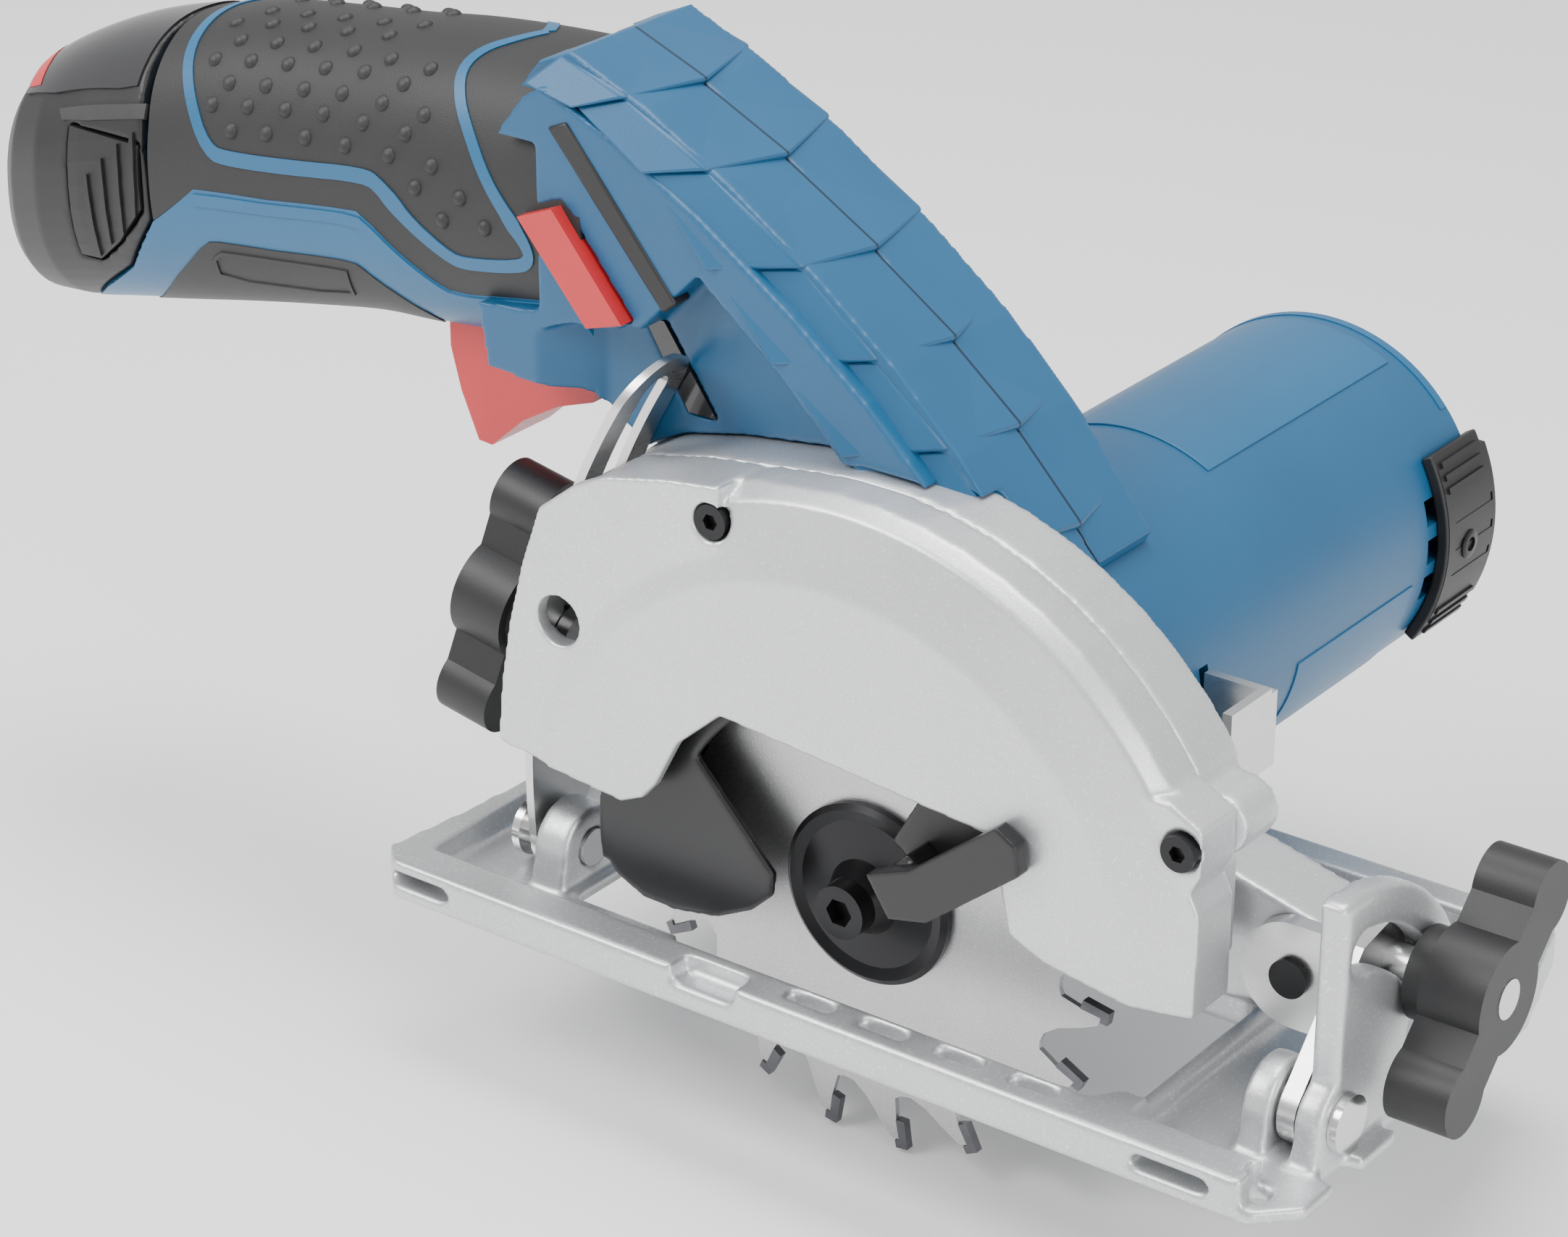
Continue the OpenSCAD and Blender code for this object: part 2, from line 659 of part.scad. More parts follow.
module motor_housing() {
    color("steelblue") difference() {
        barrel_shape(barrel_r, barrel_end);
        disc_y(motor_x, motor_z, 25.6, 20, 44);
        disc_y(motor_x, motor_z, barrel_r - wall, 44, barrel_end - 5.4);
        // cooling slots near the far end
        for (s = [0, 1], k = [-1:1])
            translate([motor_x, 0, motor_z]) rotate([0, s * 180, 0]) translate([18, 101, k * 6.4 - 2]) cube([14, 9, 4.2]);
        // opening for the lock tab
        translate([28, 33.6, 36]) cube([10, 2.4, 13]);
    }
    color("steelblue") difference() {
        disc_y(motor_x, motor_z, barrel_r - wall + e, 46, 48.6);
        disc_y(motor_x, motor_z, 20.5, 45, 50);
    }
}
module end_bumper() {
    color("dimgray") difference() {
        intersection() {
            translate([motor_x, 0, motor_z]) tube_y(0, 0, barrel_r + 2.2, barrel_r, 104, barrel_end);
            translate([motor_x + 14, 103, motor_z - 13]) cube([20, 20, 26]);
        }
        for (k = [-2:2])
            translate([motor_x + barrel_r + 1.2, 106 + 0.1, motor_z + 4.6 * k - 0.7]) cube([3, 12, 1.4]);
    }
}

// ---- grip and ridge housing
// Grip sections from the battery end forward: place, middle height, half height and half width
grip_sections = [
    [-186.4, 81.8, 9, 5], [-184.5, 82.4, 13.8, 9], [-181, 83.9, 18, 13.8], [-176, 85.9, 20.8, 17.6], [-168, 88.6, 22.6, 19.9],
    [-158, 91.6, 23.6, 20.2], [-146, 94.4, 24, 20], [-132, 97.4, 24.2, 19.2], [-118, 99.6, 23.8, 18.6],
    [-104, 101.5, 23.4, 18.4], [-92, 102.7, 23.8, 18.5], [-78, 103.9, 23.7, 18.6], [-64, 104.8, 23.3, 18.6]
];
grip_sides = 48;
function superellipse(a, b, t) = [
    a * sign(cos(t)) * pow(abs(cos(t)), 0.86), b * sign(sin(t)) * pow(abs(sin(t)), 0.86)
];
module grip_slice(s, inset) {
    translate([s[0], seam_y, s[1]]) rotate([90, 0, 90]) linear_extrude(0.02) polygon([
        for (j = [0:grip_sides - 1]) superellipse(s[3] - inset, s[2] - inset, 360 * j / grip_sides)
    ]);
}
module grip_solid(first, last, inset) {
    for (i = [first:last - 1])
        hull() {
            grip_slice(grip_sections[i], inset);
            grip_slice(grip_sections[i + 1], inset);
        }
}
// Line in X and Z that parts the battery from the grip
joint_line = [[-146, 119], [-142.6, 96], [-142.5, 88.8], [-150, 78.7], [-160, 72.1], [-173, 62.6]];
module behind_joint(gap) {
    slab_y(-20, 62) polygon(concat(
        [[-146 - gap, 150]], [for (p = joint_line) [p[0] - gap, p[1] + 0.6 * gap]], [[-173 - gap, 40], [-240, 40], [-240, 150]]
    ));
}
module ahead_of_joint(gap) {
    slab_y(-20, 62) polygon(concat(
        [[-146 - gap, 150]], [for (p = joint_line) [p[0] - gap, p[1] + 0.6 * gap]], [[-173 - gap, 40], [-60, 40], [-60, 150]]
    ));
}
ridge_line = [[-60, 131.5], [-46.4, 125.7], [-31.5, 117.3], [-15.5, 106.6], [-1.6, 95.9], [9.8, 85.2], [24, 68]];
module bridge_outline(drop) {
    polygon(concat(
        [for (p = ridge_line) [p[0] - drop * 0.5, p[1] - drop]],
        [[20, 60], [-14, 60], [-44, 68.5], [-58, 79], [-74, 80.5], [-78, 104], [-70, 124 - drop], [-66, 129 - drop]]
    ));
}
module bridge_inner() {
    polygon([
        [-60, 124], [-47, 118.5], [-32, 110.5], [-17, 100.5], [-4, 90.5], [6, 80], [14, 70], [14, 63.5], [-12, 63.5],
        [-42, 72.5], [-57, 83], [-82, 84], [-82, 118], [-66, 123]
    ]);
}
module strip_side() {
    intersection() {
        slab_z(50, 125) polygon([[-65, -12], [-65, 2], [-55, 8.4], [40, 8.4], [40, -12]]);
        slab_y(-12, 12) polygon([
            [-72, 55], [-66, 88], [-58, 91], [-45, 92.6], [-34, 104], [-19.8, 92.4], [-7.5, 81], [10, 55]
        ]);
    }
}
module housing_room() {
    // keeps the housing clear of the guard, the gear case and the motor housing
    slab_y(-20, 10.8) translate([0, 0]) polygon(concat(upper_edge(-0.3, 61), [[-63, 20], [61, 20]]));
    disc_y(motor_x, motor_z, 27.35, 10, 21.2);
    disc_y(motor_x, motor_z, barrel_r, 21.2, 60);
    translate([-92.5, seam_y - 7.5, 50]) cube([34, 15, 37]);
    lock_off_space();
    strip_side();
    disc_y(-66.5, 79.5, 2 + run, seam_y - 10.6, seam_y + 10.6);
    behind_joint(0);
}
module skin_band() {
    slab_y(-10, 60) polygon([
        [-165, 88], [-142.5, 88.8], [-133, 95.5], [-99, 99.5], [-84, 89.5], [-62, 92], [-62.5, 104], [-63, 134], [-170, 140]
    ]);
}
module lock_off_space() {
    slab_y(-10, 13.5) polygon([[-66.1, 107.2], [-58.9, 110.2], [-45.6, 94.2], [-53.2, 91.9]]);
}
module housing_full() {
    difference() {
        union() {
            grip_solid(4, 12, 0);
            slab_y(seam_y - 14.5, seam_y + 14.5) bridge_outline(0);
            slab_y(seam_y - housing_half, seam_y + housing_half) bridge_outline(4.5);
        }
        difference() {
            grip_solid(4, 12, skin_t + wall);
            translate([-81, 0, 60]) cube([40, 60, 80]);
        }
        slab_y(seam_y - 7.7, seam_y + housing_half - wall) bridge_inner();
        housing_room();
        intersection() {
            difference() {
                grip_solid(4, 12, -2);
                grip_solid(4, 12, skin_t);
            }
            skin_band();
        }
        slab_y(-10, 11.3) polygon([[-48.7, 93.1], [-44.3, 93.1], [-34.6, 79.2], [-40.4, 79.2]]);
    }
}
module housing_near() {
    color("steelblue") intersection() {
        housing_full();
        translate([-200, -10, 0]) cube([300, seam_y + 10, 160]);
    }
}
module housing_far() {
    color("steelblue") intersection() {
        housing_full();
        translate([-200, seam_y, 0]) cube([300, 60, 160]);
    }
}
module grip_skin() {
    difference() {
        intersection() {
            difference() {
                grip_solid(4, 12, 0);
                grip_solid(4, 12, skin_t);
            }
            skin_band();
        }
        slab_y(seam_y - housing_half - 9, seam_y + housing_half + 9) bridge_outline(0);
        behind_joint(0);
        lock_off_space();
    }
}
module grip_skin_near() {
    color("black") intersection() {
        grip_skin();
        translate([-200, -10, 0]) cube([300, seam_y + 10, 160]);
    }
}
module grip_skin_far() {
    color("black") intersection() {
        grip_skin();
        translate([-200, seam_y, 0]) cube([300, 60, 160]);
    }
}
module charge_display() {
    color("black") slab_y(8.3, 11) polygon([[-48.4, 92.8], [-44.6, 92.8], [-35, 79.5], [-40.1, 79.5]]);
}
module power_switch() {
    color("dimgray") {
        translate([-88, seam_y - 7, 91.5]) cube([20, 14, 15]);
        translate([-80, seam_y - 2, 89.5]) cube([6, 4, 2.1]);
    }
}
module trigger_pin() {
    color("lightgray") disc_y(-66.5, 79.5, 2, seam_y - 10.5, seam_y + 10.5);
}
module trigger() {
    color("red") difference() {
        slab_y(seam_y - 7, seam_y + 7) trigger_outline();
        disc_y(-66.5, 79.5, 2 + run, 0, 40);
    }
}
module trigger_outline() {
    polygon([
        [-91.4, 76], [-89.5, 69], [-86.2, 61.4], [-83.5, 61.2], [-77, 67], [-70, 71], [-63, 73.4], [-61, 79], [-62, 83.5], [-91.4, 84]
    ]);
}
module lock_off_button() {
    color("red") slab_y(seam_y - housing_half - 2.2, 8) polygon([[-65.6, 106.8], [-59, 109.4], [-46.2, 94.2], [-52.9, 92.2]]);
}

// ---- battery: a stick of three cells with an end cap
module along_grip() {
    translate([-158, seam_y, 91.8]) rotate([0, -grip_tilt, 0]) children();
}
module stick(x0, x1, r) {
    slab_x(x0, x1) {
        translate([0, -6]) circle(r);
        translate([0, 6]) circle(r);
        translate([-r, -6]) square([2 * r, 12]);
    }
}
module battery_case() {
    color("black") difference() {
        union() {
            difference() {
                grip_solid(0, 7, 0);
                intersection() {
                    grip_solid(1, 7, 2.5);
                    behind_joint(2.6);
                }
                ahead_of_joint(0.35);
            }
            along_grip() stick(-4.5, 53.5, 10);
        }
        along_grip() stick(-18, 52, 8.6);
        slab_y(-20, 62) latch_outline(0.4);
    }
}
module battery_cells() {
    color("seagreen") along_grip() for (p = [[0, -7], [0, 7]])
        translate([-15, p[0], p[1]]) rotate([0, 90, 0]) cylinder(r = 6.9, h = 64);
}
module latch_outline(grow) {
    polygon([
        [-160 - grow, 101 + grow], [-144.4 + grow, 101 + grow], [-144.4 + grow, 90.5 - grow], [-150.5, 83.4 - grow],
        [-156, 79 - grow], [-160 - grow, 79 - grow]
    ]);
}
module latch(side) {
    color("black") intersection() {
        difference() {
            grip_solid(3, 7, 0);
            grip_solid(3, 7, 2.4);
        }
        slab_y(side < 0 ? -10 : seam_y + 6, side < 0 ? seam_y - 6 : 60) latch_outline(0);
    }
}
module battery_latch_near() { latch(-1); }
module battery_latch_far() { latch(1); }

base_plate();
front_bevel_rivet();
rear_bevel_pin();
bevel_bracket();
bevel_clamp_stud();
depth_pivot_pin();
depth_strip();
bevel_wing_knob();
upper_guard_cover();
gear_case();
gearbox_cover();
guard_screws();
depth_clamp_bolt();
depth_wing_knob();
lower_guard();
guard_lever();
guard_spring();
saw_blade();
carbide_teeth();
inner_flange();
outer_flange();
blade_screw();
spindle_shaft();
output_gear();
gearbox_bearings();
spindle_lock_tab();
gear_plate();
lay_shaft();
lay_gear();
lay_pinion();
output_wheel();
output_shaft();
pinion_gear();
rotor_shaft();
motor_pinion();
armature();
commutator();
cooling_fan();
rotor_bearings();
motor_can();
motor_magnets();
brush_holder();
carbon_brushes();
motor_housing();
end_bumper();
housing_near();
housing_far();
grip_skin_near();
grip_skin_far();
charge_display();
power_switch();
trigger();
trigger_pin();
lock_off_button();
battery_case();
battery_cells();
battery_latch_near();
battery_latch_far();
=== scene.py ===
import json
import math

import bmesh
import bpy
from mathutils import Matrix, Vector


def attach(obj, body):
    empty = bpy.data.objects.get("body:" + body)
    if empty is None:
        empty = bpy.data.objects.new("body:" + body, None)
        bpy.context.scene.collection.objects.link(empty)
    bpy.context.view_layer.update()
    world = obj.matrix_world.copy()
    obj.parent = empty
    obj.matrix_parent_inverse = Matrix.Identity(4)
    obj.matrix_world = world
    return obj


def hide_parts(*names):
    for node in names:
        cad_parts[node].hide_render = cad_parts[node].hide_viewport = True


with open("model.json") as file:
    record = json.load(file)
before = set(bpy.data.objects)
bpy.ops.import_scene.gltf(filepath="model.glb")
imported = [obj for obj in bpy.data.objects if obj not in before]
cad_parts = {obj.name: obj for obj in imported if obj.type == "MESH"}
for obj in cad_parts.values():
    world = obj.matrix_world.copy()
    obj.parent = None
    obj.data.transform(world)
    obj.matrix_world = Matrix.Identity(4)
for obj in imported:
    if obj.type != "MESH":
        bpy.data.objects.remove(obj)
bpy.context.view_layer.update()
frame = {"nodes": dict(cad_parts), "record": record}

MM = 0.001
NODES = frame["nodes"]
SEAM_Y = 21.0
SPECK_RANGE = (0.56, 0.72)  # noise values between which flecks fade in
SEAM_EDGE = (0.18, 0.32)  # the dark seam line fades out between these half widths, in millimetres
GRIP_POWER = 0.86  # below 1 squares the grip's oval section
TURN_MM = 0.38  # length of one degree of turn round the grip


# ---------------------------------------------------------------- materials
def surface(name, light, dark, rough, metal=0.0, patch=120.0, grain=2500.0, bump=0.05, coat=0.0, speck=None,
    streak=None,
            seam=None):
    """A procedural finish: two tones in soft patches, roughness that varies and a fine grain in relief."""
    m = bpy.data.materials.new(name)
    m.use_nodes = True
    nodes, links = m.node_tree.nodes, m.node_tree.links
    bsdf = nodes["Principled BSDF"]
    where = nodes.new("ShaderNodeTexCoord")
    source = where.outputs["Object"]
    if streak:
        squeeze = nodes.new("ShaderNodeMapping")
        squeeze.inputs["Scale"].default_value = streak
        links.new(source, squeeze.inputs["Vector"])
        source = squeeze.outputs["Vector"]
    broad = nodes.new("ShaderNodeTexNoise")
    broad.inputs["Scale"].default_value = patch
    broad.inputs["Detail"].default_value = 4.0
    links.new(source, broad.inputs["Vector"])
    tone = nodes.new("ShaderNodeMix")
    tone.data_type = "RGBA"
    tone.inputs["A"].default_value = (*dark, 1)
    tone.inputs["B"].default_value = (*light, 1)
    links.new(broad.outputs["Fac"], tone.inputs["Factor"])
    colour = tone.outputs["Result"]
    fine = nodes.new("ShaderNodeTexNoise")
    fine.inputs["Scale"].default_value = grain
    fine.inputs["Detail"].default_value = 2.0
    links.new(where.outputs["Object"], fine.inputs["Vector"])
    if speck:
        dots = nodes.new("ShaderNodeMapRange")
        dots.inputs["From Min"].default_value = SPECK_RANGE[0]
        dots.inputs["From Max"].default_value = SPECK_RANGE[1]
        links.new(fine.outputs["Fac"], dots.inputs["Value"])
        fleck = nodes.new("ShaderNodeMix")
        fleck.data_type = "RGBA"
        fleck.inputs["B"].default_value = (*speck, 1)
        links.new(dots.outputs["Result"], fleck.inputs["Factor"])
        links.new(colour, fleck.inputs["A"])
        colour = fleck.outputs["Result"]
    if seam:
        # a dark line where the two halves meet, at Y = seam
        apart = nodes.new("ShaderNodeSeparateXYZ")
        links.new(where.outputs["Object"], apart.inputs["Vector"])
        off = nodes.new("ShaderNodeMath")
        off.operation = "SUBTRACT"
        off.inputs[1].default_value = seam * MM
        links.new(apart.outputs["Y"], off.inputs[0])
        size = nodes.new("ShaderNodeMath")
        size.operation = "ABSOLUTE"
        links.new(off.outputs["Value"], size.inputs[0])
        line = nodes.new("ShaderNodeMapRange")
        line.inputs["From Min"].default_value = SEAM_EDGE[0] * MM
        line.inputs["From Max"].default_value = SEAM_EDGE[1] * MM
        line.inputs["To Min"].default_value = 1.0
        line.inputs["To Max"].default_value = 0.0
        links.new(size.outputs["Value"], line.inputs["Value"])
        gap = nodes.new("ShaderNodeMix")
        gap.data_type = "RGBA"
        gap.inputs["B"].default_value = (*[c * 0.25 for c in dark], 1)
        links.new(line.outputs["Result"], gap.inputs["Factor"])
        links.new(colour, gap.inputs["A"])
        colour = gap.outputs["Result"]
    links.new(colour, bsdf.inputs["Base Color"])
    span = nodes.new("ShaderNodeMapRange")
    span.inputs["To Min"].default_value = rough[0]
    span.inputs["To Max"].default_value = rough[1]
    links.new(broad.outputs["Fac"], span.inputs["Value"])
    links.new(span.outputs["Result"], bsdf.inputs["Roughness"])
    bsdf.inputs["Metallic"].default_value = metal
    bsdf.inputs["Coat Weight"].default_value = coat
    relief = nodes.new("ShaderNodeBump")
    relief.inputs["Strength"].default_value = bump
    relief.inputs["Distance"].default_value = 0.2 * MM
    links.new(fine.outputs["Fac"], relief.inputs["Height"])
    links.new(relief.outputs["Normal"], bsdf.inputs["Normal"])
    return m


CAST = surface("cast_alloy", (0.70, 0.71, 0.72), (0.60, 0.61, 0.62), (0.36, 0.46), 0.75, 60, 2600, 0.12,
    speck=(0.80, 0.81, 0.82))
CAST_BASE = surface("cast_base", (0.64, 0.65, 0.66), (0.52, 0.53, 0.54), (0.34, 0.46), 0.8, 45, 1800, 0.15,
    speck=(0.74, 0.75, 0.76))
ZINC = surface("zinc_steel", (0.74, 0.74, 0.73), (0.60, 0.60, 0.60), (0.22, 0.36), 1.0, 70, 3000, 0.05,
    streak=(1, 1, 4))
CHROME = surface("pin_steel", (0.82, 0.82, 0.82), (0.7, 0.7, 0.7), (0.12, 0.2), 1.0, 90, 2500, 0.02)
BLADE = surface("blade_steel", (0.56, 0.56, 0.57), (0.42, 0.42, 0.43), (0.3, 0.42), 1.0, 90, 4200, 0.25,
    speck=(0.72, 0.72, 0.73))
CARBIDE = surface("carbide", (0.16, 0.16, 0.17), (0.09, 0.09, 0.1), (0.3, 0.4), 0.8, 400, 3000, 0.05)
BLACKSTEEL = surface("black_steel", (0.016, 0.016, 0.018), (0.009, 0.009, 0.010), (0.25, 0.38), 0.5, 90,
    2500, 0.04)
BLACK = surface("black_plastic", (0.014, 0.014, 0.015), (0.009, 0.009, 0.010), (0.42, 0.55), 0.0, 60, 2800,
    0.12)
BLACK_GLOSS = surface("label_panel", (0.03, 0.03, 0.033), (0.02, 0.02, 0.022), (0.18, 0.28), 0.0, 60, 2500,
    0.02, coat=0.3)
GUARD_BLACK = surface("guard_plastic", (0.012, 0.012, 0.013), (0.007, 0.007, 0.008), (0.3, 0.42), 0.0, 60,
    2500, 0.06)
GRIP = surface("grip_rubber", (0.020, 0.020, 0.021), (0.013, 0.013, 0.014), (0.5, 0.62), 0.0, 50, 3200,
    0.22)
BLUE = surface("blue_plastic", (0.010, 0.098, 0.215), (0.007, 0.078, 0.18), (0.34, 0.46), 0.0, 50, 3000,
    0.1, seam=SEAM_Y)
BLUE_TRIM = surface("blue_trim", (0.013, 0.115, 0.245), (0.010, 0.095, 0.21), (0.36, 0.46), 0.0, 50, 3000,
    0.08)
RED = surface("red_plastic", (0.62, 0.03, 0.035), (0.5, 0.02, 0.025), (0.32, 0.42), 0.0, 80, 2500, 0.04)
COPPER = surface("copper", (0.6, 0.28, 0.14), (0.45, 0.18, 0.08), (0.3, 0.42), 0.9, 200, 2500, 0.1)
CARBON = surface("carbon", (0.05, 0.05, 0.05), (0.03, 0.03, 0.03), (0.5, 0.6), 0.2, 200, 2500, 0.1)
GEARS = surface("gear_steel", (0.5, 0.5, 0.51), (0.4, 0.4, 0.41), (0.25, 0.35), 1.0, 120, 2500, 0.05)
WRAP = surface("cell_wrap", (0.06, 0.28, 0.18), (0.05, 0.22, 0.14), (0.25, 0.35), 0.0, 120, 2500, 0.03)
MAGNET = surface("magnet", (0.12, 0.12, 0.13), (0.08, 0.08, 0.09), (0.4, 0.5), 0.6, 120, 2500, 0.05)
DISPLAY = surface("display_plastic", (0.02, 0.02, 0.024), (0.012, 0.012, 0.014), (0.12, 0.2), 0.0, 60, 2000,
    0.01, coat=0.5)

SLOT_LOOKS = {
    "cast_alloy": CAST, "zinc_steel": ZINC, "pin_steel": CHROME, "black_steel": BLACKSTEEL,
    "black_plastic": BLACK,
    "guard_plastic": GUARD_BLACK, "blade_steel": BLADE, "carbide": CARBIDE, "gear_steel": GEARS,
    "blue_plastic": BLUE,
    "grip_rubber": GRIP, "red_plastic": RED, "copper": COPPER, "carbon": CARBON, "cell_wrap": WRAP,
    "display_plastic": DISPLAY, "magnet": MAGNET,
}


# ---------------------------------------------------------------- tools
def paint(obj, material):
    obj.data.materials.clear()
    obj.data.materials.append(material)


def smooth(obj, angle=35):
    for p in obj.data.polygons:
        p.use_smooth = True
    obj.data.set_sharp_from_angle(angle=math.radians(angle))


def bevel(obj, width, segments=2, angle=35):
    mod = obj.modifiers.new("edges", "BEVEL")
    mod.width = width * MM
    mod.segments = segments
    mod.limit_method = "ANGLE"
    mod.angle_limit = math.radians(angle)
    mod.harden_normals = False
    return mod


def cast(obj, voxel, rounds=6):
    """Rounds every edge as a casting or moulding has it."""
    mod = obj.modifiers.new("skin", "REMESH")
    mod.mode = "VOXEL"
    mod.voxel_size = voxel * MM
    mod.use_smooth_shade = True
    soft = obj.modifiers.new("soft", "SMOOTH")
    soft.factor = 0.5
    soft.iterations = rounds


def add_object(name, bm, material, body, stands_for=(), shade=35):
    mesh = bpy.data.meshes.new(name)
    bmesh.ops.recalc_face_normals(bm, faces=bm.faces)
    bm.to_mesh(mesh)
    bm.free()
    obj = bpy.data.objects.new(name, mesh)
    bpy.context.scene.collection.objects.link(obj)
    paint(obj, material)
    smooth(obj, shade)
    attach(obj, body)
    if stands_for:
        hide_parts(*stands_for)
    return obj


def prism(bm, outline, axis, low, high):
    """Adds an outline, given in the two other axes, made thick along one axis; all in millimetres."""
    def place(p, d):
        q = {"x": (d, p[0], p[1]), "y": (p[0], d, p[1]), "z": (p[0], p[1], d)}[axis]
        return Vector(q) * MM
    front = [bm.verts.new(place(p, low)) for p in outline]
    back = [bm.verts.new(place(p, high)) for p in outline]
    n = len(outline)
    bm.faces.new(front)
    bm.faces.new(back[::-1])
    for i in range(n):
        j = (i + 1) % n
        bm.faces.new((front[i], back[i], back[j], front[j]))


def lathe(bm, profile, centre, axis, steps=48):
    """Adds a turned shape: profile is (distance along the axis, radius) and centre a point on the axis."""
    axis = Vector(axis).normalized()
    side = axis.orthogonal().normalized()
    other = axis.cross(side)
    rings = []
    for along, radius in profile:
        middle = Vector(centre) + axis * along
        if radius < 1e-6:
            rings.append([bm.verts.new(middle * MM)])
        else:
            rings.append([bm.verts.new((middle + (side * math.cos(t) + other * math.sin(t)) * radius) * MM)
                          for t in (2 * math.pi * k / steps for k in range(steps))])
    for a, b in zip(rings, rings[1:]):
        for k in range(steps):
            j = (k + 1) % steps
            if len(a) == 1 and len(b) == 1:
                continue
            if len(a) == 1:
                bm.faces.new((a[0], b[k], b[j]))
            elif len(b) == 1:
                bm.faces.new((a[k], b[0], a[j]))
            else:
                bm.faces.new((a[k], b[k], b[j], a[j]))


def circle(x, z, r, n=24, a0=0, a1=360):
    return [(x + r * math.cos(math.radians(a0 + (a1 - a0) * k / n)),
        z + r * math.sin(math.radians(a0 + (a1 - a0) * k / n)))
            for k in range(n if a1 - a0 == 360 else n + 1)]


# ---------------------------------------------------------------- the grip's surface
SECTIONS = [
    (-186.9, 81.8, 1.0, 1.0), (-186.4, 81.8, 9, 5), (-184.5, 82.4, 13.8, 9), (-181, 83.9, 18, 13.8), (-176,
    85.9, 20.8, 17.6),
    (-168, 88.6, 22.6, 19.9), (-158, 91.6, 23.6, 20.2), (-146, 94.4, 24, 20), (-132, 97.4, 24.2, 19.2),
    (-118, 99.6, 23.8, 18.6), (-104, 101.5, 23.4, 18.4), (-92, 102.7, 23.8, 18.5), (-78, 103.9, 23.7, 18.6),
    (-64, 104.8, 23.3, 18.6), (-56, 105.0, 23.0, 18.6),
]


def section(x):
    """Middle height, half height and half width of the grip at x, smooth through the sections."""
    i = 0
    while i < len(SECTIONS) - 2 and x > SECTIONS[i + 1][0]:
        i += 1
    a, b = SECTIONS[i], SECTIONS[i + 1]
    before, after = SECTIONS[max(i - 1, 0)], SECTIONS[min(i + 2, len(SECTIONS) - 1)]
    t = min(max((x - a[0]) / (b[0] - a[0]), 0), 1)
    out = []
    for k in (1, 2, 3):
        step = (b[k] - a[k])
        m0 = (b[k] - before[k]) / (b[0] - before[0]) * (b[0] - a[0]) if before is not a else step
        m1 = (after[k] - a[k]) / (after[0] - a[0]) * (b[0] - a[0]) if after is not b else step
        if i < 3:
            m0 = m1 = step
        out.append((2 * t**3 - 3 * t**2
            + 1) * a[k] + (t**3 - 2 * t**2 + t) * m0 + (3 * t**2 - 2 * t**3) * b[k] + (t**3 - t**2) * m1)
    return out


def squash_power(v):
    return math.copysign(abs(v) ** GRIP_POWER, v)


def grip_point(x, turn, off=0.0):
    """A point of the grip at x; turn is 0 on the near side, 90 on top, 180 on the far side."""
    middle, half_height, half_width = section(x)
    r = math.radians(turn)
    return Vector((x, SEAM_Y - (half_width + off) * squash_power(math.cos(r)),
        middle + (half_height + off) * squash_power(math.sin(r))))


def grip_patch(bm, outline, off, depth, step=2.0, turn_step=5.0):
    """Adds a shell over an outline given in (x, turn), its outer face off millimetres above the grip."""
    flat = bmesh.new()
    flat.faces.new([flat.verts.new((p[0], p[1], 0)) for p in outline])
    xs = [p[0] for p in outline]
    ts = [p[1] for p in outline]
    for low, high, gap, normal in ((min(xs), max(xs), step, (1, 0, 0)), (min(ts), max(ts), turn_step, (0, 1,
        0))):
        at = math.ceil(low / gap) * gap
        while at < high:
            if at - low > 0.02:
                bmesh.ops.bisect_plane(flat, geom=flat.verts[:] + flat.edges[:] + flat.faces[:], dist=1e-4,
                                       plane_co=Vector(normal) * at, plane_no=normal)
            at += gap
    bmesh.ops.triangulate(flat, faces=[f for f in flat.faces if len(f.verts) > 4])
    top = {v: bm.verts.new(grip_point(v.co.x, v.co.y, off) * MM) for v in flat.verts}
    low = {v: bm.verts.new(grip_point(v.co.x, v.co.y, off - depth) * MM) for v in flat.verts}
    for f in flat.faces:
        bm.faces.new([top[v] for v in f.verts])
        bm.faces.new([low[v] for v in reversed(f.verts)])
    for e in flat.edges:
        if len(e.link_faces) == 1:
            a, b = e.verts
            bm.faces.new((top[a], low[a], low[b], top[b]))
    flat.free()


def mirrored(outline):
    return [(x, 180 - t) for x, t in reversed(outline)]


def band(path, width):
    """A strip of constant width along a path in (x, turn)."""
    pts = [Vector((x, t * TURN_MM)) for x, t in path]
    left, right = [], []
    n = len(pts)
    for i, p in enumerate(pts):
        a = pts[i - 1] if i else p
        b = pts[i + 1] if i < n - 1 else p
        d1 = (p - a).normalized() if (p - a).length > 0 else (b - p).normalized()
        d2 = (b - p).normalized() if (b - p).length > 0 else d1
        along = (d1 + d2).normalized()
        side = Vector((-along.y, along.x)) * (width / 2) / max(along.dot(d1), 0.5)
        left.append(p + side)
        right.append(p - side)
    return [(v.x, v.y / TURN_MM) for v in left] + [(v.x, v.y / TURN_MM) for v in reversed(right)]


def rounded(path, steps=3, cut=0.28, closed=False):
    """Cuts the corners of a path steps - 1 times."""
    for _ in range(steps - 1):
        out = [] if closed else [path[0]]
        n = len(path)
        for i in range(n if closed else n - 1):
            a, b = path[i], path[(i + 1) % n]
            if closed or i:
                out.append((a[0] + (b[0] - a[0]) * cut, a[1] + (b[1] - a[1]) * cut))
            if closed or i < n - 2:
                out.append((b[0] + (a[0] - b[0]) * cut, b[1] + (a[1] - b[1]) * cut))
        if not closed:
            out.append(path[-1])
        path = out
    return path


